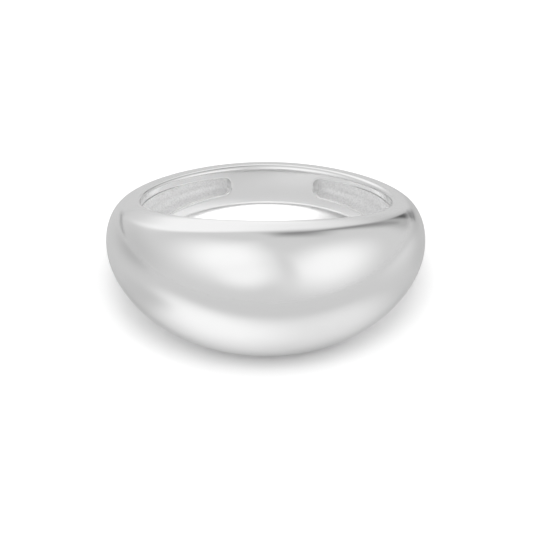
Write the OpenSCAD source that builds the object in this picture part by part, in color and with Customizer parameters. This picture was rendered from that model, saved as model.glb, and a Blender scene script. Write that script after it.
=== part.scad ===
// Dome ring in cast silver: one solid, lying on its side as it rests by itself.
// The dome faces -Y, the plain back of the band faces +Y, and the ring stands on z = 0.

/* [Finger hole] */
// Diameter of the finger hole
hole_d = 17.3; // [15:0.1:21]
// Rounding of the two edges of the finger hole
edge_r = 0.3; // [0.15:0.05:0.5]

/* [Dome] */
// Width of the ring, along the finger, at the middle of the dome
dome_w = 9.9; // [7:0.1:13]
// Thickness of the ring at the middle of the dome
dome_t = 3.8; // [3.2:0.1:6]
// How quickly the width falls away to both sides of the dome
width_fall = 1.58; // [1:0.01:3]
// How quickly the thickness falls away to both sides of the dome
rise_fall = 2.9; // [1:0.1:4]

/* [Band] */
// Width of the band at the back
band_w = 2.95; // [2.7:0.05:5]
// Thickness of the band at the back
band_t = 2.1; // [1.8:0.05:3]

/* [Side faces] */
// Width of the flat side face beside the dome, outside the rounded edge
face_dome = 1.2; // [0.6:0.05:1.6]
// Width of the flat side face at the back, outside the rounded edge
face_band = 0.6; // [0.3:0.05:1.2]

/* [Pocket] */
// Thickness of the metal behind the pocket's floor
pocket_wall = 1.2; // [0.8:0.05:1.6]
// Width of the pocket's mouth at the middle of the dome
mouth_dome = 5.2; // [3:0.1:7]
// Width to which the mouth narrows at the back, where the bare arc cuts it off
mouth_band = 1.18; // [0.9:0.02:1.5]
// How far the mouth lies above the middle of the ring's width
mouth_up = 0.12; // [0:0.02:0.3]
// Narrowest wall left between the mouth and the rounded edge of the finger hole
flat_min = 0.16; // [0.14:0.01:0.3]
// Rounding of the pocket's corners at its two ends
pocket_corner = 0.5; // [0.1:0.05:0.6]
// How far the pocket's walls lean in, from its mouth to its floor
pocket_draft = 0.12; // [0.04:0.02:0.2]
// Arc of bare wall at the back, between the two ends of the pocket, in degrees
bare_arc = 38.6; // [20:0.2:80]
// How far that arc is turned towards +X, in degrees
bare_turn = 2.7; // [-6:0.1:6]

/* [Hidden] */

hole_r = hole_d / 2;
// Radius at which the flat side faces begin
face_r = hole_r + edge_r;
// How far the swept body reaches into the finger hole, where the bore cuts it away
bore_cut = 0.04;
// The last angle of the rounded edge, from where it runs on straight into the bore
edge_end = 75;
edge_steps = 3;
dome_steps = 9;
floor_steps = 3;
// Sections in each half of the bare arc and in each half of the pocket
bare_steps = 6;
pocket_steps = 50;
// Places along a rounded pocket corner, as shares of its radius
CORNER = [0, 0.12, 0.45, 1];
// Angle over which the wall at each end of the pocket leans, as its long walls do
end_wall_deg = pocket_draft / hole_r * 180 / PI;
// A distance too small to count
NONE = 0.001;
bore_h = 3 * dome_w;

// 1 at the middle of the dome, 0 at the back
function toward_dome(angle) = (1 + cos(angle)) / 2;
function mix(low, high, share) = low + (high - low) * share;

// Sizes of the ring's section at an angle from the middle of the dome
function half_w(angle) = mix(band_w, dome_w, pow(toward_dome(angle), width_fall)) / 2;
function outer_r(angle) = hole_r + mix(band_t, dome_t, pow(toward_dome(angle), rise_fall));
function face_w(angle) = mix(face_band, face_dome, toward_dome(angle));
function mouth_half(angle) = min(half_w(angle) - edge_r - flat_min - mouth_up,
    mix(mouth_band, mouth_dome, toward_dome(angle)) / 2);

// Ends of the pocket, as angles from the middle of the dome
pocket_right = 180 - bare_arc / 2 - bare_turn;
pocket_left = 180 - bare_arc / 2 + bare_turn;
function pocket_end(angle) = angle < 0 ? pocket_left : pocket_right;
// The corner's radius, within what the pocket's floor leaves at its narrower end
corner_r = min(pocket_corner, 0.85 * (mouth_half(max(pocket_left, pocket_right)) - pocket_draft));
// Distance along the wall into the pocket, below 0 in the bare arc
function into_pocket(angle) = (pocket_end(angle) - abs(angle)) * PI / 180 * hole_r;
function corner_cut(distance) = distance >= corner_r ? 0
    : corner_r - sqrt(pow(corner_r, 2) - pow(corner_r - max(0, distance), 2));
function pocket_half(angle) = mouth_half(angle) - corner_cut(into_pocket(angle));

// Outside of the section: half an ellipse, whose tip beside the finger hole is the flat side face
function dome_point(angle, turn) =
    [face_r + (outer_r(angle) - face_r) * cos(turn), half_w(angle) * sin(turn)];
function crease_turn(angle) = acos(face_w(angle) / (outer_r(angle) - face_r));
function outer_at(angle, height) =
    face_r + (outer_r(angle) - face_r) * sqrt(1 - pow(height / half_w(angle), 2));

// Floor of the pocket, an even wall's thickness inside the dome, or inside the bore where it is bare
function floor_point(angle, height) = [
    into_pocket(angle) < -NONE ? hole_r - bore_cut : outer_at(angle, height) - pocket_wall,
    height];

// Half of the section, from the outside's middle round the edge to the pocket floor's middle,
// which lies at the height given
function half_section(angle, middle) = let (
        half = half_w(angle),
        edge_low = half - edge_r + edge_r * cos(edge_end),
        run_in = (edge_r * (1 - sin(edge_end)) + bore_cut) * tan(edge_end),
        mouth = pocket_half(angle),
        floor_half = mouth - pocket_draft)
    concat(
        [for (i = [0:dome_steps]) dome_point(angle, crease_turn(angle) * i / dome_steps)],
        [for (i = [0:edge_steps]) let (turn = edge_end * i / edge_steps)
            [face_r - edge_r * sin(turn), half - edge_r + edge_r * cos(turn)]],
        [[hole_r - bore_cut, edge_low - run_in], [hole_r - bore_cut, middle + mouth]],
        [for (i = [floor_steps:-1:0]) floor_point(angle, middle + floor_half * i / floor_steps)]);

function section(angle) = let (
        upper = half_section(angle, mouth_up),
        lower = half_section(angle, -mouth_up),
        last = len(upper) - 1)
    concat(upper, [for (i = [last - 1:-1:1]) [lower[i][0], -lower[i][1]]]);

// Angles of the sections, closer together at the ends of the pocket
function steps_between(start, end, count) = [for (i = [0:count - 1]) mix(start, end, i / count)];
function end_angles(end) = concat([end + end_wall_deg],
    [for (share = CORNER) end - share * corner_r / hole_r * 180 / PI]);
right_end = end_angles(pocket_right);
left_end = end_angles(pocket_left);
last_end = len(CORNER);
angles = concat(
    steps_between(0, right_end[last_end], pocket_steps),
    [for (i = [last_end:-1:0]) right_end[i]],
    [for (angle = steps_between(right_end[0], 180, bare_steps)) if (angle > right_end[0]) angle],
    steps_between(-180, -left_end[0], bare_steps),
    [for (i = [0:last_end]) -left_end[i]],
    [for (angle = steps_between(-left_end[last_end], 0, pocket_steps))
        if (angle > -left_end[last_end]) angle]);

// Tilt at which the ring lies, on the lower edge of the dome and the lower edge of the band
function support(points, tilt, side) = let (
        heights = [for (p = points) side * p[0] * sin(tilt) - abs(p[1]) * cos(tilt)],
        at = search(min(heights), heights)[0])
    [points[at][0], abs(points[at][1])];
function next_tilt(tilt) = let (
        front = support(section(0), tilt, 1),
        back = support(section(180), tilt, -1))
    atan((front[1] - back[1]) / (front[0] + back[0]));
rest_tilt = next_tilt(next_tilt(next_tilt(0)));

// Points of the upright ring, a row for each section
rows = [for (angle = angles) [for (point = section(angle))
    [point[0] * sin(angle), -point[0] * cos(angle), point[1]]]];
points = [for (row = rows) each row];

// Where the tilted ring comes to lie: the middle of its depth, and its lowest point
laid_y = [for (p = points) p[1] * cos(rest_tilt) + p[2] * sin(rest_tilt)];
laid_z = [for (p = points) p[2] * cos(rest_tilt) - p[1] * sin(rest_tilt)];
centre_y = (max(laid_y) + min(laid_y)) / 2;
floor_z = min(laid_z);

row_count = len(rows);
row_len = len(rows[0]);
faces = [for (i = [0:row_count - 1]) for (j = [0:row_len - 1]) let (
        next_i = (i + 1) % row_count,
        next_j = (j + 1) % row_len)
    each [
        [i * row_len + j, i * row_len + next_j, next_i * row_len + next_j],
        [i * row_len + j, next_i * row_len + next_j, next_i * row_len + j]]];

module swept_body() {
    polyhedron(points, faces, 10);
}

module finger_bore() {
    cylinder(r = hole_r, h = bore_h, center = true, $fn = 180);
}

// The upright ring, laid down on the lower edges of its dome and its band
module ring() {
    color("silver")
        translate([0, -centre_y, -floor_z])
            rotate([-rest_tilt, 0, 0])
                difference() {
                    swept_body();
                    finger_bore();
                }
}

ring();
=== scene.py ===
"""Dome ring in polished silver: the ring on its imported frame, and the studio around it."""

import math

import bmesh
import bpy
from bpy.props import FloatProperty, PointerProperty, StringProperty
from mathutils import Matrix, Vector


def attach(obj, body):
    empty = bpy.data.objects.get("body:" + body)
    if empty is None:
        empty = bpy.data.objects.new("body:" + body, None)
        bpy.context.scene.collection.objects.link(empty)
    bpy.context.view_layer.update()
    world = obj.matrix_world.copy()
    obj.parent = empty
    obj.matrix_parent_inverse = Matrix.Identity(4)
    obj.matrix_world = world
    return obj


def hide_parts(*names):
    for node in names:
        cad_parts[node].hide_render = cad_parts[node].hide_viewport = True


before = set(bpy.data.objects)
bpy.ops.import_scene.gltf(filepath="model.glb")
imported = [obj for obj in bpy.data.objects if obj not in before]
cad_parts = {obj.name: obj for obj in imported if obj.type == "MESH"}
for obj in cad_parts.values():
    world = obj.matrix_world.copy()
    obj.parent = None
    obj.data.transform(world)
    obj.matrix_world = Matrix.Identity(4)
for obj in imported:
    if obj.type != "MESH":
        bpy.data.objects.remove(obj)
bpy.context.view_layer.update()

bl_info = {
    "name": "Dome ring",
    "version": (1, 0, 0),
    "blender": (4, 5, 0),
    "location": "View3D > Sidebar > Dome ring",
    "description": "A cast silver dome ring, polished outside and as cast in its pocket",
    "category": "Add Mesh",
}

MM = 0.001
# Points of the ring's mesh that lie closer together than this are one
MERGE = 1e-7
# Largest share of a straight stretch that a rounding may take up
MOST_ROUNDED = 0.8
# Largest share of the pocket's half width that its bent outline may take off
MOST_BENT = 0.85
# How many times as fast the crease sharpens from the back on as the dome comes nearer
CREASE_SHARPENS = 3
# Span of the areas in which the polish varies, and the noise values between which it does
HAZE_SPAN = 0.9 * MM
HAZE_LOW, HAZE_HIGH = 0.3, 0.7
# Noise values between which the as-cast grains go from dark to light
GRAIN_LOW, GRAIN_HIGH = 0.35, 0.6
# The paper floor reaches this far to each side
PAPER_HALF = 2.0
# Span and depth of the paper's fibres, and how much of that depth shows
FIBRE_SPAN = 0.6 * MM
FIBRE_DEPTH = 0.005 * MM
FIBRE_SHARE = 0.2
# Nearest and furthest that the camera sees
CLIP_START, CLIP_END = 10 * MM, 10.0
# Where a patch comes round again: half a turn of the room in degrees, and in millimetres a place
# beyond the edges of the paper floor, which no patch reaches
HALF_TURN = 180
FAR = 10000

# Points along each stretch of half the ring's section, from the outside's middle to the inside's
DOME_STEPS = 30
CREASE_STEPS = 6
FACE_STEPS = 3
ROLL_STEPS = 5
EDGE_STEPS = 7
WALL_STEPS = 4
LIP_STEPS = 3
LEAN_STEPS = 4
CORNER_STEPS = 6
FLOOR_STEPS = 8
# Sections along the ring: over the pocket on each side, over a pocket corner, over the bare arc
POCKET_STEPS = 150
BEND_STEPS = 10
BARE_STEPS = 34


def length(name, about, value):
    """A size in millimetres, kept in metres."""
    return FloatProperty(name=name, description=about, default=value * MM, unit="LENGTH",
                         precision=5)


def angle(name, about, value):
    """An angle in degrees, kept in radians."""
    return FloatProperty(name=name, description=about, default=math.radians(value),
                         subtype="ANGLE")


def plain(name, about, value):
    """A number without a unit."""
    return FloatProperty(name=name, description=about, default=value)


def colour(name, about, value):
    """A colour as an sRGB hex code."""
    return StringProperty(name=name, description=about, default=value)


class DomeRingSizes(bpy.types.PropertyGroup):
    hole_r: length("Finger hole radius", "Half the finger hole's diameter", 8.65)
    hole_y: length("Finger hole, back", "Middle of the finger hole, behind the origin", 0.886402)
    hole_z: length("Finger hole, up", "Middle of the finger hole, above the floor", 3.1699)
    lie_tilt: angle("Lying tilt", "Tilt of the lying ring, its dome side up", 10.8905)
    edge_r: length("Edge rounding", "Rounding of the two edges of the finger hole", 0.3)
    edge_dome: length("Edge at the dome", "Rounding of those edges beside the dome", 0.12)
    edge_worn: length("Edge, more polished", "Extra rounding on the right, less on the left", 0.07)
    dome_w: length("Dome width", "Width of the ring at the middle of the dome", 9.9)
    dome_t: length("Dome thickness", "Thickness of the ring at the middle of the dome", 3.8)
    band_w: length("Band width", "Width of the band at the back", 2.95)
    band_t: length("Band thickness", "Thickness of the band at the back", 2.1)
    width_fall: plain("Width fall", "How quickly the width falls away beside the dome", 1.58)
    rise_fall: plain("Rise fall", "How quickly the thickness falls away beside the dome", 2.9)
    face_roll: length("Rolled edge", "Width of the side face that rolls over to the edge", 0.5)
    face_drop: length("Rolled edge, down", "How far it rolls down beside the dome", 0.06)
    face_dome: length("Side face at the dome", "Width of the side face beside the dome", 1.2)
    face_band: length("Side face at the back", "Width of the side face at the back", 0.6)
    crease_dome: length("Crease at the dome", "Reach of the soft crease beside the dome", 0.25)
    crease_band: length("Crease at the back", "Reach of the soft crease beside the band", 1.2)
    crease_lean: length("Crease, to the left", "Side face, wider left and narrower right", 0.35)
    pocket_wall: length("Pocket wall", "Thickness of the metal behind the pocket's floor", 1.2)
    mouth_dome: length("Mouth at the dome", "Width of the pocket's mouth at the dome", 5.2)
    mouth_band: length("Mouth at the back", "Width to which the mouth narrows", 1.18)
    mouth_up: length("Mouth, up", "How far the mouth lies above the middle of the width", 0.12)
    flat_min: length("Narrowest wall", "Least wall between the mouth and a rounded edge", 0.16)
    pocket_bend: length("Pocket bend", "Rounding of the pocket's outline at its ends", 0.5)
    pocket_lean: length("Pocket lean", "How far the pocket's walls lean in", 0.12)
    pocket_lip: length("Pocket lip", "Polished rounding of the pocket's lip", 0.1)
    pocket_corner: length("Pocket corner", "Rounding between the pocket's walls and floor", 0.65)
    bare_arc: angle("Bare arc", "Bare wall between the pocket's ends, at the back", 38.6)
    bare_turn: angle("Bare arc's turn", "How far the bare arc is turned towards +X", 2.7)


class DomeRingFinish(bpy.types.PropertyGroup):
    silver: colour("Polished silver", "Colour of polished sterling silver", "#F7F7F7")
    polish: plain("Polish", "Roughness of the high polish", 0.15)
    haze: plain("Haze", "How much the polish varies", 0.03)
    wave: length("Wave", "Depth of the faint waves that polishing leaves", 0.0015)
    wave_span: length("Wave length", "Length of those waves", 3.0)
    cast: colour("As-cast silver", "Colour of silver as it comes from the mould", "#F9F9F9")
    cast_dark: colour("As-cast shade", "Darker grains of the as-cast silver", "#E6E6E6")
    cast_rough: plain("As-cast roughness", "Roughness of the as-cast silver", 0.38)
    cast_metal: plain("As-cast metal", "Share of the light that the as-cast skin mirrors", 0.6)
    # Investment powder leaves grains of 0.02 to 0.05 mm, drawn three times as coarse so they show
    cast_grain: length("As-cast grain", "Size of the grains on the as-cast silver", 0.12)
    cast_depth: length("As-cast depth", "Depth of those grains", 0.012)


class DomeRingStudio(bpy.types.PropertyGroup):
    view_height: angle("View height", "Height of the camera above the floor, as an angle", 34.52)
    view_yaw: angle("View yaw", "Turn of the camera round the ring", -0.4)
    view_roll: angle("View roll", "Roll of the camera", 0.12)
    view_distance: length("View distance", "From the camera to the middle of the finger hole", 500)
    view_width: length("View width", "Width of the frame at the finger hole", 36.784)
    aim_right: length("Aim right", "Aim of the camera, right of the finger hole's middle", 0.045)
    aim_down: length("Aim down", "Aim of the camera, below the finger hole's middle", 2.187)
    paper: plain("Paper", "Brightness of the open paper floor as the ring shows it", 0.625)
    paper_white: plain("Paper white", "Brightness of the open paper floor in the picture", 1.2)
    paper_near: length("Paper, near", "Where the paper starts to fade into the room", 20)
    paper_end: length("Paper's end", "Where it has faded, as the ring shows it", 110)
    # Painted light: the paper's tone is raised this many times where matt silver takes light from
    # it
    paper_painted_bounce: plain("Paper bounce", "How much more light matt silver takes from paper", 2.5)
    room: plain("Room", "Brightness of the plain room around the lamps", 0.656)
    fill_height: length("Fill height", "Height of the overhead fill light", 600)
    fill_right: length("Fill right", "How far the overhead fill light stands to the right", 50)
    fill_size: length("Fill size", "Width of the overhead fill light", 500)
    fill_power: plain("Fill power", "Power of the overhead fill light in watts", 1.15)


# Soft lamps and dark gaps around the ring: name, turn to the right from the camera's side and
# height above the floor in degrees, half width, half height, softness of the edge, brightness
LAMPS = [
    ("left softbox", -42, 47, 46, 27, 0.75, 1.02),
    ("left softbox, lower corner", -18, 27, 20, 14, 0.7, 0.98),
    ("right softbox", 58, 27, 38, 24, 0.7, 1.0),
    ("gap between the softboxes", 20, 44, 7, 30, 0.9, 0.68),
    ("back softbox", -164, 28, 31, 19, 0.5, 0.97),
    ("gap behind on the right", 146, 28, 9, 36, 0.7, 0.28),
    ("high gap on the right", 148, 64, 26, 13, 0.8, 0.26),
    ("low gap on the right", 150, 3, 14, 10, 0.8, 0.46),
    ("low gap on the left", -112, 0, 25, 12, 0.8, 0.56),
    ("dark gap behind on the right", 154, -3, 4, 10, 0.5, 0.08),
    ("dark gap, further up", 143, 10, 2.5, 5, 0.6, 0.3),
]
# Tones of the paper floor, as the ring shows it and as the picture shows it: name, place to the
# right and to the back in millimetres, half width, half depth, softness of the edge, brightness.
# They are painted shade and painted light on the paper: painted shadows and pools of light beside,
# under and inside the ring, and dark lines and gaps that the silver mirrors as painted
# reflections.
PAPER_TONES = [
    ("brighter before the dome", -6, -14, 12, 6, 0.8, 1.0),
    ("brighter beside the dome", 8, -11, 6, 5, 0.8, 0.85),
    ("darker on the left", -44, 8, 19, 12, 0.7, 0.46),
    ("darker behind on the right", 22, 14, 12, 10, 0.8, 0.5),
    ("darker beside the ring on the left", -14, -6, 3, 4, 0.8, 0.58),
    # Painted dark lines and gaps on the paper, there for the silver to mirror as painted
    # reflections
    ("dark line behind on the left", -44, 37, 17, 6, 0.4, 0.05),
    ("dark line, further back", -31, 60, 6, 26, 0.4, 0.05),
    ("dark gap behind on the right", 20, 22, 2.5, 4, 0.5, 0.15),
    ("dark gap, further back", 25.5, 35, 3.5, 9, 0.5, 0.1),
    ("brighter on the right", 30, 4, 9, 9, 0.8, 0.7),
    ("darker beside the ring on the right", 15, 6, 3, 5, 0.8, 0.56),
    ("under the back of the band", 0, 1, 11.2, 10.4, 0.06, 1.15),
    ("under the back, on the right", 7.5, 8.5, 3, 2.4, 0.4, 1.8),
    ("inside the ring, at its back", 0, 0.6, 8.3, 8, 0.06, 0.78),
    ("inside the ring", 0, -1, 8, 8, 0.15, 0.72),
    ("brighter inside on the left", -4, -1, 4, 4, 0.8, 0.9),
    ("brighter inside, back left", -4.5, 7.3, 2.5, 2, 0.7, 1.0),
    ("darker inside on the right", 7.5, 5, 3.5, 3.5, 0.6, 0.9),
]
# Painted light and painted shade in the picture: a painted pool of light on the paper inside the
# ring, and a painted shadow on its right
PICTURE_TONES = [
    ("inside the ring", 0, 3, 8, 8, 0.3, 1.8),
    ("darker inside on the right", 5.5, 5.5, 3, 3.5, 0.6, 0.7),
]


def linear(code):
    """An sRGB hex colour as linear red, green, blue and alpha."""
    shares = [int(code[i:i + 2], 16) / 255 for i in (1, 3, 5)]
    return [s / 12.92 if s <= 0.04045 else ((s + 0.055) / 1.055) ** 2.4 for s in shares] + [1]


def node(tree, kind, settings=None, links=None):
    """Adds a node, sets its properties or its inputs by name or number, and links inputs.
    A mix has its two numbers in inputs 2 and 3, and its two colours in inputs 6 and 7."""
    made = tree.nodes.new(kind)
    for key, value in (settings or {}).items():
        if isinstance(key, str) and hasattr(made, key):
            setattr(made, key, value)
        else:
            made.inputs[key].default_value = value
    for key, source in (links or {}).items():
        tree.links.new(source, made.inputs[key])
    return made


def new_material(name):
    """An empty node material and its output node."""
    material = bpy.data.materials.new(name)
    material.use_nodes = True
    material.node_tree.nodes.clear()
    return material, material.node_tree, node(material.node_tree, "ShaderNodeOutputMaterial")


def polished_silver(finish):
    """Sterling silver, 925 parts in 1000, cast and then polished on felt and cotton wheels.
    It mirrors the softboxes with slightly soft edges; the wheels leave faint long waves."""
    material, tree, out = new_material("polished sterling silver")
    place = node(tree, "ShaderNodeTexCoord").outputs["Object"]
    haze = node(tree, "ShaderNodeTexNoise", {"Scale": 1 / HAZE_SPAN, "Detail": 3.0},
                {"Vector": place})
    rough = node(tree, "ShaderNodeMapRange",
                 {"From Min": HAZE_LOW, "From Max": HAZE_HIGH,
                  "To Min": finish.polish - finish.haze / 2,
                  "To Max": finish.polish + finish.haze / 2}, {"Value": haze.outputs["Fac"]})
    waves = node(tree, "ShaderNodeTexNoise", {"Scale": 1 / finish.wave_span, "Detail": 1.0},
                 {"Vector": place})
    bump = node(tree, "ShaderNodeBump", {"Strength": 1.0, "Distance": finish.wave},
                {"Height": waves.outputs["Fac"]})
    shader = node(tree, "ShaderNodeBsdfPrincipled",
                  {"Base Color": linear(finish.silver), "Metallic": 1.0},
                  {"Roughness": rough.outputs["Result"], "Normal": bump.outputs["Normal"]})
    tree.links.new(shader.outputs["BSDF"], out.inputs["Surface"])
    return material


def as_cast_silver(finish):
    """The same silver as it leaves the investment mould, bright-dipped but not polished.
    It is matt and finely grained, and catches light on single grains."""
    material, tree, out = new_material("as-cast sterling silver")
    place = node(tree, "ShaderNodeTexCoord").outputs["Object"]
    grain = node(tree, "ShaderNodeTexNoise", {"Scale": 1 / finish.cast_grain, "Detail": 4.0,
                                              "Roughness": 0.6}, {"Vector": place})
    tone = node(tree, "ShaderNodeMix", {"data_type": "RGBA", 6: linear(finish.cast_dark),
                                        7: linear(finish.cast)})
    share = node(tree, "ShaderNodeMapRange", {"From Min": GRAIN_LOW, "From Max": GRAIN_HIGH},
                 {"Value": grain.outputs["Fac"]})
    tree.links.new(share.outputs["Result"], tone.inputs["Factor"])
    bump = node(tree, "ShaderNodeBump", {"Strength": 1.0, "Distance": finish.cast_depth},
                {"Height": grain.outputs["Fac"]})
    shader = node(tree, "ShaderNodeBsdfPrincipled",
                  {"Metallic": finish.cast_metal, "Roughness": finish.cast_rough},
                  {"Base Color": tone.outputs[2], "Normal": bump.outputs["Normal"]})
    tree.links.new(shader.outputs["BSDF"], out.inputs["Surface"])
    return material


def toward_dome(turn):
    """1 at the middle of the dome, 0 at the back."""
    return (1 + math.cos(turn)) / 2


def mix(low, high, share):
    """The value that lies at a share of the way from one to another."""
    return low + (high - low) * share


def ray(turn):
    """A direction in the section, at an angle from straight outwards."""
    return Vector((math.cos(turn), math.sin(turn)))


def meet(start, way, other, other_way):
    """Where two lines of the section meet, each given by a point and a direction."""
    gap, cross = other - start, way.x * other_way.y - way.y * other_way.x
    return start + way * ((gap.x * other_way.y - gap.y * other_way.x) / cross)


def curve(start, corner, end, steps):
    """Points of a soft corner, without its end."""
    return [start * (1 - t) ** 2 + corner * 2 * t * (1 - t) + end * t ** 2
            for t in (i / steps for i in range(steps))]


def straight(start, end, steps):
    """Points of a straight stretch, without its end."""
    return [start.lerp(end, i / steps) for i in range(steps)]


def toward(start, end, distance):
    """The point at a distance from one point on the way to another."""
    return start + (end - start).normalized() * distance


class Section:
    """Sizes of the ring's section at one turn from the middle of the dome."""

    def __init__(self, s, turn):
        near = toward_dome(turn)
        self.s = s
        self.half = mix(s.band_w, s.dome_w, near ** s.width_fall) / 2
        self.face_r = s.hole_r + s.edge_r
        self.rise = s.hole_r + mix(s.band_t, s.dome_t, near ** s.rise_fall) - self.face_r
        self.face = mix(s.face_band, s.face_dome, near) - s.crease_lean * near * math.sin(turn)
        self.soft = mix(s.crease_band, s.crease_dome, min(1, CREASE_SHARPENS * near))
        self.edge_r = mix(s.edge_r, s.edge_dome, near) + s.edge_worn * math.sin(turn)
        self.drop = s.face_drop * near
        self.mouth = min(mix(s.mouth_band, s.mouth_dome, near) / 2,
                         self.half - self.edge_r - s.flat_min - s.mouth_up)

    def dome(self, turn):
        """A point of the half ellipse that is the outside."""
        return Vector((self.face_r + self.rise * math.cos(turn), self.half * math.sin(turn)))

    def dome_way(self, turn):
        """The direction in which the outside runs there."""
        return Vector((-self.rise * math.sin(turn), self.half * math.cos(turn)))

    def touch_turn(self, edge, point):
        """The angle at which a line from a point of the outside touches the rounded edge."""
        way = point - edge
        return math.atan2(way.y, way.x) + math.acos(self.edge_r / way.length)

    def outside(self):
        """From the outside's middle over the crease, the side face and the edge to the bore."""
        edge = Vector((self.s.hole_r + self.edge_r, self.half - self.edge_r))
        crease_turn = math.acos(self.face / self.rise)
        crease = self.dome(crease_turn)
        # The side face leaves the crease and just touches the rounding of the edge
        touch = edge + ray(self.touch_turn(edge, crease)) * self.edge_r
        # Beside the dome it rolls over a little before it meets the edge, which is lower there
        roll_from = toward(touch, crease, self.s.face_roll)
        roll_over = toward(touch, crease, self.s.face_roll / 2)
        edge.y -= self.drop
        edge_turn = self.touch_turn(edge, roll_over)
        edge_start = edge + ray(edge_turn) * self.edge_r
        soft = min(self.soft, MOST_ROUNDED * (roll_from - crease).length)
        soft_turn = crease_turn - soft / self.dome_way(crease_turn).length
        before, after = self.dome(soft_turn), toward(crease, touch, soft)
        corner = meet(before, self.dome_way(soft_turn), after, touch - crease)
        points = [self.dome(soft_turn * i / DOME_STEPS) for i in range(DOME_STEPS)]
        points += curve(before, corner, after, CREASE_STEPS)
        points += straight(after, roll_from, FACE_STEPS)
        points += curve(roll_from, roll_over, edge_start, ROLL_STEPS)
        points += [edge + ray(mix(edge_turn, math.pi, i / EDGE_STEPS)) * self.edge_r
                   for i in range(EDGE_STEPS)]
        return points

    def inside(self, bend_cut, middle):
        """From the edge down the bore and into the pocket, to the floor's middle."""
        s = self.s
        half = self.mouth - min(bend_cut, MOST_BENT * (self.mouth - s.pocket_lean))
        mouth = Vector((s.hole_r, middle + half))
        floor_half = half - s.pocket_lean
        foot = self.floor(middle + floor_half)
        round_in = min(s.pocket_corner, MOST_ROUNDED * floor_half)
        lip = mouth + Vector((0, s.pocket_lip))
        lip_end, foot_start = toward(mouth, foot, s.pocket_lip), toward(foot, mouth, round_in)
        foot_end = self.floor(middle + floor_half - round_in)
        edge_end = Vector((s.hole_r, self.half - self.edge_r - self.drop))
        points = straight(edge_end, lip, WALL_STEPS)
        points += curve(lip, mouth, lip_end, LIP_STEPS)
        points += straight(lip_end, foot_start, LEAN_STEPS)
        points += curve(foot_start, foot, foot_end, CORNER_STEPS)
        points += [self.floor(mix(foot_end.y, middle, i / FLOOR_STEPS))
                   for i in range(FLOOR_STEPS + 1)]
        return points

    def floor(self, height):
        """A point of the pocket's floor, an even wall's thickness inside the dome."""
        return Vector((self.face_r + self.rise * math.sqrt(1 - (height / self.half) ** 2)
                       - self.s.pocket_wall, height))


def end_depths(s):
    """Depth of the pocket along the way in from its end: distances in and shares of the depth."""
    deep = Section(s, math.pi).rise + s.edge_r - s.pocket_wall
    start, mouth, foot = Vector((-s.pocket_lip, 0)), Vector((0, 0)), Vector((s.pocket_lean, deep))
    lip_end, foot_start = toward(mouth, foot, s.pocket_lip), toward(foot, mouth, s.pocket_corner)
    foot_end = foot + Vector((s.pocket_corner, 0))
    return (curve(start, mouth, lip_end, LIP_STEPS) + straight(lip_end, foot_start, LEAN_STEPS)
            + curve(foot_start, foot, foot_end, CORNER_STEPS) + [foot_end])


def stations(s):
    """Turns of the sections round the ring, how deep the pocket may be there, and what its
    rounded corner takes off its half width."""
    ends = end_depths(s)

    def depth_at(way_in):
        """How deep the pocket may be at a distance into it, without a limit past its end wall."""
        if way_in <= ends[0].x:
            return 0.0
        for low, high in zip(ends, ends[1:]):
            if way_in < high.x:
                return mix(low.y, high.y, (way_in - low.x) / (high.x - low.x))
        return math.inf

    def bend_at(way_in):
        """What the bent outline takes off the half width at a distance into the pocket."""
        rest = s.pocket_bend - min(max(way_in, 0), s.pocket_bend)
        return s.pocket_bend - math.sqrt(s.pocket_bend ** 2 - rest ** 2)

    bends = [s.pocket_bend * (1 - math.cos(math.pi / 2 * i / BEND_STEPS))
             for i in range(1, BEND_STEPS + 1)]
    ways_in = sorted([p.x for p in ends] + bends)
    right = math.pi - s.bare_arc / 2 - s.bare_turn
    left = math.pi - s.bare_arc / 2 + s.bare_turn

    def half(end):
        """Sections from the middle of the dome to where the bare arc starts."""
        last = end - ways_in[-1] / s.hole_r
        found = [(last * i / POCKET_STEPS, math.inf, 0.0) for i in range(POCKET_STEPS)]
        return found + [(end - way / s.hole_r, depth_at(way), bend_at(way))
                        for way in reversed(ways_in)]

    first, second = half(right), half(left)
    bare_start, bare_end = first[-1][0], 2 * math.pi - second[-1][0]
    bare = [(mix(bare_start, bare_end, i / BARE_STEPS), 0.0, bend_at(0))
            for i in range(1, BARE_STEPS)]
    return first + bare + [(2 * math.pi - t, deep, cut) for t, deep, cut in reversed(second[1:])]


def ring_rows(s):
    """For each section, its turn, its upper and lower outline and how deep the pocket may be."""
    rows = []
    for turn, deep, bend_cut in stations(s):
        section = Section(s, turn)
        outside = section.outside()
        halves = [outside + [Vector((min(p.x, s.hole_r + deep), p.y))
                             for p in section.inside(bend_cut, middle)]
                  for middle in (s.mouth_up, -s.mouth_up)]
        rows.append((turn, halves, deep))
    return rows


def hole_place(s):
    """Where the middle of the finger hole lies, and how it is tilted."""
    return Matrix.Translation((0, s.hole_y, s.hole_z)) @ Matrix.Rotation(-s.lie_tilt, 4, "X")


def finished(bm, name):
    """A mesh of what the bmesh holds, which is then let go."""
    mesh = bpy.data.meshes.new(name)
    bm.to_mesh(mesh)
    bm.free()
    return mesh


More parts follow.
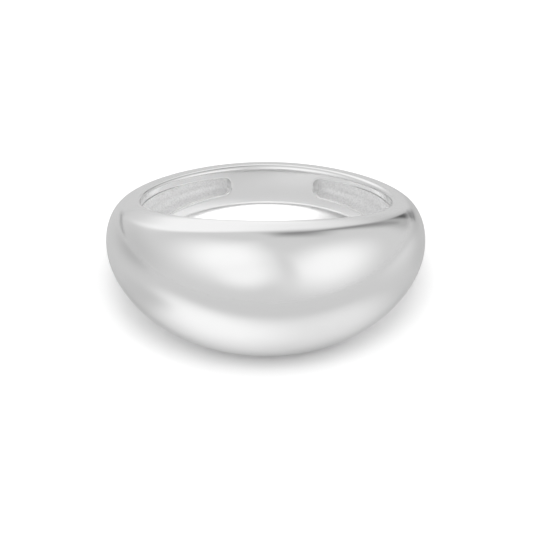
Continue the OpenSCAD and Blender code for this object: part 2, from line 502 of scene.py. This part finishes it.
def ring_mesh(s):
    """A torus spun from a circle, each point of it then moved to its place on the ring."""
    rows = ring_rows(s)
    count, around = len(rows), 2 * (len(rows[0][1][0]) - 1)
    bm = bmesh.new()
    torus_r, tube_r = s.hole_r * 2, s.hole_r
    upright = Matrix.Translation((torus_r, 0, 0)) @ Matrix.Rotation(math.pi / 2, 4, "X")
    bmesh.ops.create_circle(bm, segments=around, radius=tube_r, matrix=upright)
    bmesh.ops.spin(bm, geom=bm.verts[:] + bm.edges[:], cent=(0, 0, 0), axis=(0, 0, 1),
                   angle=2 * math.pi, steps=count, use_merge=True)
    bmesh.ops.remove_doubles(bm, verts=bm.verts[:], dist=MERGE)
    place_of = {}
    for vert in bm.verts:
        x, y, z = vert.co
        row = round(math.atan2(y, x) / (2 * math.pi) * count) % count
        step = round(math.atan2(z, math.hypot(x, y) - torus_r) / (2 * math.pi) * around) % around
        place_of[vert] = row, step
        turn, halves, _ = rows[row]
        below = step > around / 2
        r, h = halves[below][min(step, around - step)]
        vert.co = r * math.sin(turn), -r * math.cos(turn), -h if below else h
    # The pocket is as cast from just below its lip
    cast_start = around // 2 - FLOOR_STEPS - CORNER_STEPS - LEAN_STEPS + 1
    for face in bm.faces:
        face.smooth = True
        places = [place_of[vert] for vert in face.verts]
        cast = all(min(step, around - step) >= cast_start and rows[row][2] > s.pocket_wall / 2
                   for row, step in places)
        face.material_index = int(cast)
    bmesh.ops.transform(bm, matrix=hole_place(s), verts=bm.verts)
    bmesh.ops.recalc_face_normals(bm, faces=bm.faces)
    return finished(bm, "dome_ring")


def add_object(name, data, *materials):
    """Puts a mesh with its materials, a light or a camera into the scene."""
    added = bpy.data.objects.new(name, data)
    bpy.context.scene.collection.objects.link(added)
    for material in materials:
        data.materials.append(material)
    return added


def soft_patch(tree, patch, place, wrap):
    """How much of one soft oval patch lies at a place, from 0 to 1."""
    _, across, along, half_w, half_h, soft, _ = patch
    offset = node(tree, "ShaderNodeVectorMath", {"operation": "SUBTRACT", 1: (across, along, 0)},
                  {0: place})
    wrapped = node(tree, "ShaderNodeVectorMath",
                   {"operation": "WRAP", 1: (wrap, wrap, wrap), 2: (-wrap, -wrap, -wrap)},
                   {0: offset.outputs[0]})
    scaled = node(tree, "ShaderNodeVectorMath", {"operation": "DIVIDE", 1: (half_w, half_h, 1)},
                  {0: wrapped.outputs[0]})
    far = node(tree, "ShaderNodeVectorMath", {"operation": "LENGTH"}, {0: scaled.outputs[0]})
    return node(tree, "ShaderNodeMapRange",
                {"interpolation_type": "SMOOTHSTEP", "From Min": 1 - soft, "From Max": 1 + soft,
                 "To Min": 1.0, "To Max": 0.0}, {"Value": far.outputs["Value"]}).outputs["Result"]


def with_patches(tree, base, patches, place, wrap):
    """A brightness with soft patches laid over it, one after the other."""
    light = None
    for patch in patches:
        level = node(tree, "ShaderNodeMix", {"data_type": "FLOAT", 2: base, 3: patch[-1]},
                     {"Factor": soft_patch(tree, patch, place, wrap)})
        if light is not None:
            tree.links.new(light, level.inputs[2])
        light = level.outputs[0]
    return light


def studio_light(studio):
    """World light: a plain room with soft lamps in it, and white paper where the camera looks."""
    world = bpy.data.worlds.new("studio room")
    bpy.context.scene.world = world
    world.use_nodes = True
    tree = world.node_tree
    tree.nodes.clear()
    way = node(tree, "ShaderNodeSeparateXYZ", None,
               {0: node(tree, "ShaderNodeTexCoord").outputs["Generated"]})
    ahead = node(tree, "ShaderNodeMath", {"operation": "MULTIPLY", 1: -1.0}, {0: way.outputs["Y"]})
    turn = node(tree, "ShaderNodeMath", {"operation": "ARCTAN2"},
                {0: way.outputs["X"], 1: ahead.outputs[0]})
    height = node(tree, "ShaderNodeMath", {"operation": "ARCSINE"}, {0: way.outputs["Z"]})
    radians = node(tree, "ShaderNodeCombineXYZ", None,
                   {"X": turn.outputs[0], "Y": height.outputs[0]})
    degrees = node(tree, "ShaderNodeVectorMath", {"operation": "SCALE", "Scale": 180 / math.pi},
                   {0: radians.outputs[0]}).outputs[0]
    light = with_patches(tree, studio.room, LAMPS, degrees, HALF_TURN)
    lamps = node(tree, "ShaderNodeBackground", {"Color": (1, 1, 1, 1)}, {"Strength": light})
    paper = node(tree, "ShaderNodeBackground", {"Color": (1, 1, 1, 1)})
    seen = node(tree, "ShaderNodeLightPath").outputs["Is Camera Ray"]
    both = node(tree, "ShaderNodeMixShader", None,
                {0: seen, 1: lamps.outputs[0], 2: paper.outputs[0]})
    node(tree, "ShaderNodeOutputWorld", None, {"Surface": both.outputs[0]})


def paper_floor(studio):
    """White paper sweep, lit until it burns out to white in the picture. Its tones are painted
    shade
    and painted light: they stand for the shade and the light that the ring and the room would
    throw on it, and paint dark lines that the silver mirrors. For matt silver its tone is raised,
    which paints more light onto it."""
    material, tree, out = new_material("white paper sweep")
    place = node(tree, "ShaderNodeTexCoord").outputs["Object"]
    fibre = node(tree, "ShaderNodeTexNoise", {"Scale": 1 / FIBRE_SPAN, "Detail": 2.0},
                 {"Vector": place})
    bump = node(tree, "ShaderNodeBump", {"Strength": FIBRE_SHARE, "Distance": FIBRE_DEPTH},
                {"Height": fibre.outputs["Fac"]})
    spot = node(tree, "ShaderNodeVectorMath", {"operation": "SCALE", "Scale": 1 / MM},
                {0: place}).outputs[0]
    path = node(tree, "ShaderNodeLightPath")
    # Painted light: for diffuse rays the paper's tone is raised, so matt silver takes more light
    # from it than the paper gives
    matt_painted_light = node(tree, "ShaderNodeMapRange", {"To Min": 1.0, "To Max": studio.paper_painted_bounce},
                   {"Value": path.outputs["Is Diffuse Ray"]})
    tone = node(tree, "ShaderNodeMath", {"operation": "MULTIPLY"},
                {0: with_patches(tree, studio.paper, PAPER_TONES, spot, FAR),
                 1: matt_painted_light.outputs["Result"]})
    near = node(tree, "ShaderNodeBsdfDiffuse", None, {"Color": tone.outputs[0]})
    away = node(tree, "ShaderNodeVectorMath", {"operation": "LENGTH"}, {0: place})
    fade = node(tree, "ShaderNodeMapRange",
                {"interpolation_type": "SMOOTHSTEP", "From Min": studio.paper_near,
                 "From Max": studio.paper_end}, {"Value": away.outputs["Value"]})
    # Past its end the room shows through, so that no line of a horizon crosses the silver
    in_ring = node(tree, "ShaderNodeMixShader", None,
                   {0: fade.outputs["Result"], 1: near.outputs[0],
                    2: node(tree, "ShaderNodeBsdfTransparent").outputs[0]})
    # In the picture the paper carries a painted pool of light inside the ring and a painted shadow
    # on its right
    in_picture = node(tree, "ShaderNodeBsdfDiffuse", None,
                      {"Color": with_patches(tree, studio.paper_white, PICTURE_TONES, spot, FAR),
                       "Normal": bump.outputs["Normal"]})
    both = node(tree, "ShaderNodeMixShader", None,
                {0: path.outputs["Is Camera Ray"], 1: in_ring.outputs[0],
                 2: in_picture.outputs[0]})
    tree.links.new(both.outputs[0], out.inputs["Surface"])
    return material


def overhead_fill(studio):
    """Large soft light overhead that fills the shadows on the paper, unseen in the silver."""
    light = bpy.data.lights.new("overhead_fill", "AREA")
    light.size = studio.fill_size
    light.energy = studio.fill_power
    fill = add_object("overhead_fill", light)
    fill.location = studio.fill_right, 0, studio.fill_height
    fill.visible_camera = fill.visible_glossy = False


def studio_camera(studio, target):
    """Camera at the photograph's viewing angle, aimed a little below the finger hole."""
    yaw, height = studio.view_yaw, studio.view_height
    back = Vector((-math.sin(yaw) * math.cos(height), -math.cos(yaw) * math.cos(height),
                   math.sin(height)))
    right = Vector((math.cos(yaw), -math.sin(yaw), 0))
    up = back.cross(right)
    lens = bpy.data.cameras.new("camera")
    lens.lens = lens.sensor_width * studio.view_distance / studio.view_width
    lens.clip_start, lens.clip_end = CLIP_START, CLIP_END
    camera = add_object("camera", lens)
    camera.location = target + back * studio.view_distance
    aim = target + right * studio.aim_right - up * studio.aim_down
    facing = (aim - camera.location).to_track_quat("-Z", "Y").to_matrix().to_4x4()
    roll = Matrix.Rotation(-studio.view_roll, 4, "Z")
    camera.matrix_world = Matrix.Translation(camera.location) @ facing @ roll
    bpy.context.scene.camera = camera


class DOMERING_OT_ring(bpy.types.Operator):
    """Model the ring in the place of its CAD solid"""

    bl_idname = "domering.ring"
    bl_label = "Dome ring"

    def execute(self, context):
        scene = context.scene
        finish = scene.dome_ring_finish
        piece = add_object("dome_ring", ring_mesh(scene.dome_ring_sizes),
                           polished_silver(finish), as_cast_silver(finish))
        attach(piece, "root")
        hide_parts("ring")
        return {"FINISHED"}


class DOMERING_OT_studio(bpy.types.Operator):
    """Set up the paper floor, the soft light and the camera"""

    bl_idname = "domering.studio"
    bl_label = "Studio"

    def execute(self, context):
        studio = context.scene.dome_ring_studio
        bm = bmesh.new()
        bmesh.ops.create_grid(bm, x_segments=1, y_segments=1, size=PAPER_HALF)
        add_object("paper_floor", finished(bm, "paper_floor"), paper_floor(studio))
        studio_light(studio)
        overhead_fill(studio)
        studio_camera(studio, hole_place(context.scene.dome_ring_sizes).translation)
        context.scene.view_settings.view_transform = "Standard"
        return {"FINISHED"}


class DOMERING_PT_panel(bpy.types.Panel):
    """The sizes, finish and studio, each with the button that makes it"""

    bl_idname = "DOMERING_PT_panel"
    bl_label = "Dome ring"
    bl_space_type = "VIEW_3D"
    bl_region_type = "UI"
    bl_category = "Dome ring"

    def draw(self, context):
        for operator, group in ((DOMERING_OT_ring, context.scene.dome_ring_sizes),
                                (DOMERING_OT_ring, context.scene.dome_ring_finish),
                                (DOMERING_OT_studio, context.scene.dome_ring_studio)):
            box = self.layout.box()
            for name in group.__annotations__:
                box.prop(group, name)
            box.operator(operator.bl_idname)


GROUPS = {"dome_ring_sizes": DomeRingSizes, "dome_ring_finish": DomeRingFinish,
          "dome_ring_studio": DomeRingStudio}
CLASSES = [*GROUPS.values(), DOMERING_OT_ring, DOMERING_OT_studio, DOMERING_PT_panel]


def register():
    for cls in CLASSES:
        bpy.utils.register_class(cls)
    for name, group in GROUPS.items():
        setattr(bpy.types.Scene, name, PointerProperty(type=group))


def unregister():
    for name in GROUPS:
        delattr(bpy.types.Scene, name)
    for cls in reversed(CLASSES):
        bpy.utils.unregister_class(cls)


def main():
    register()
    bpy.ops.domering.studio()
    bpy.ops.domering.ring()


if __name__ == "__main__":
    main()
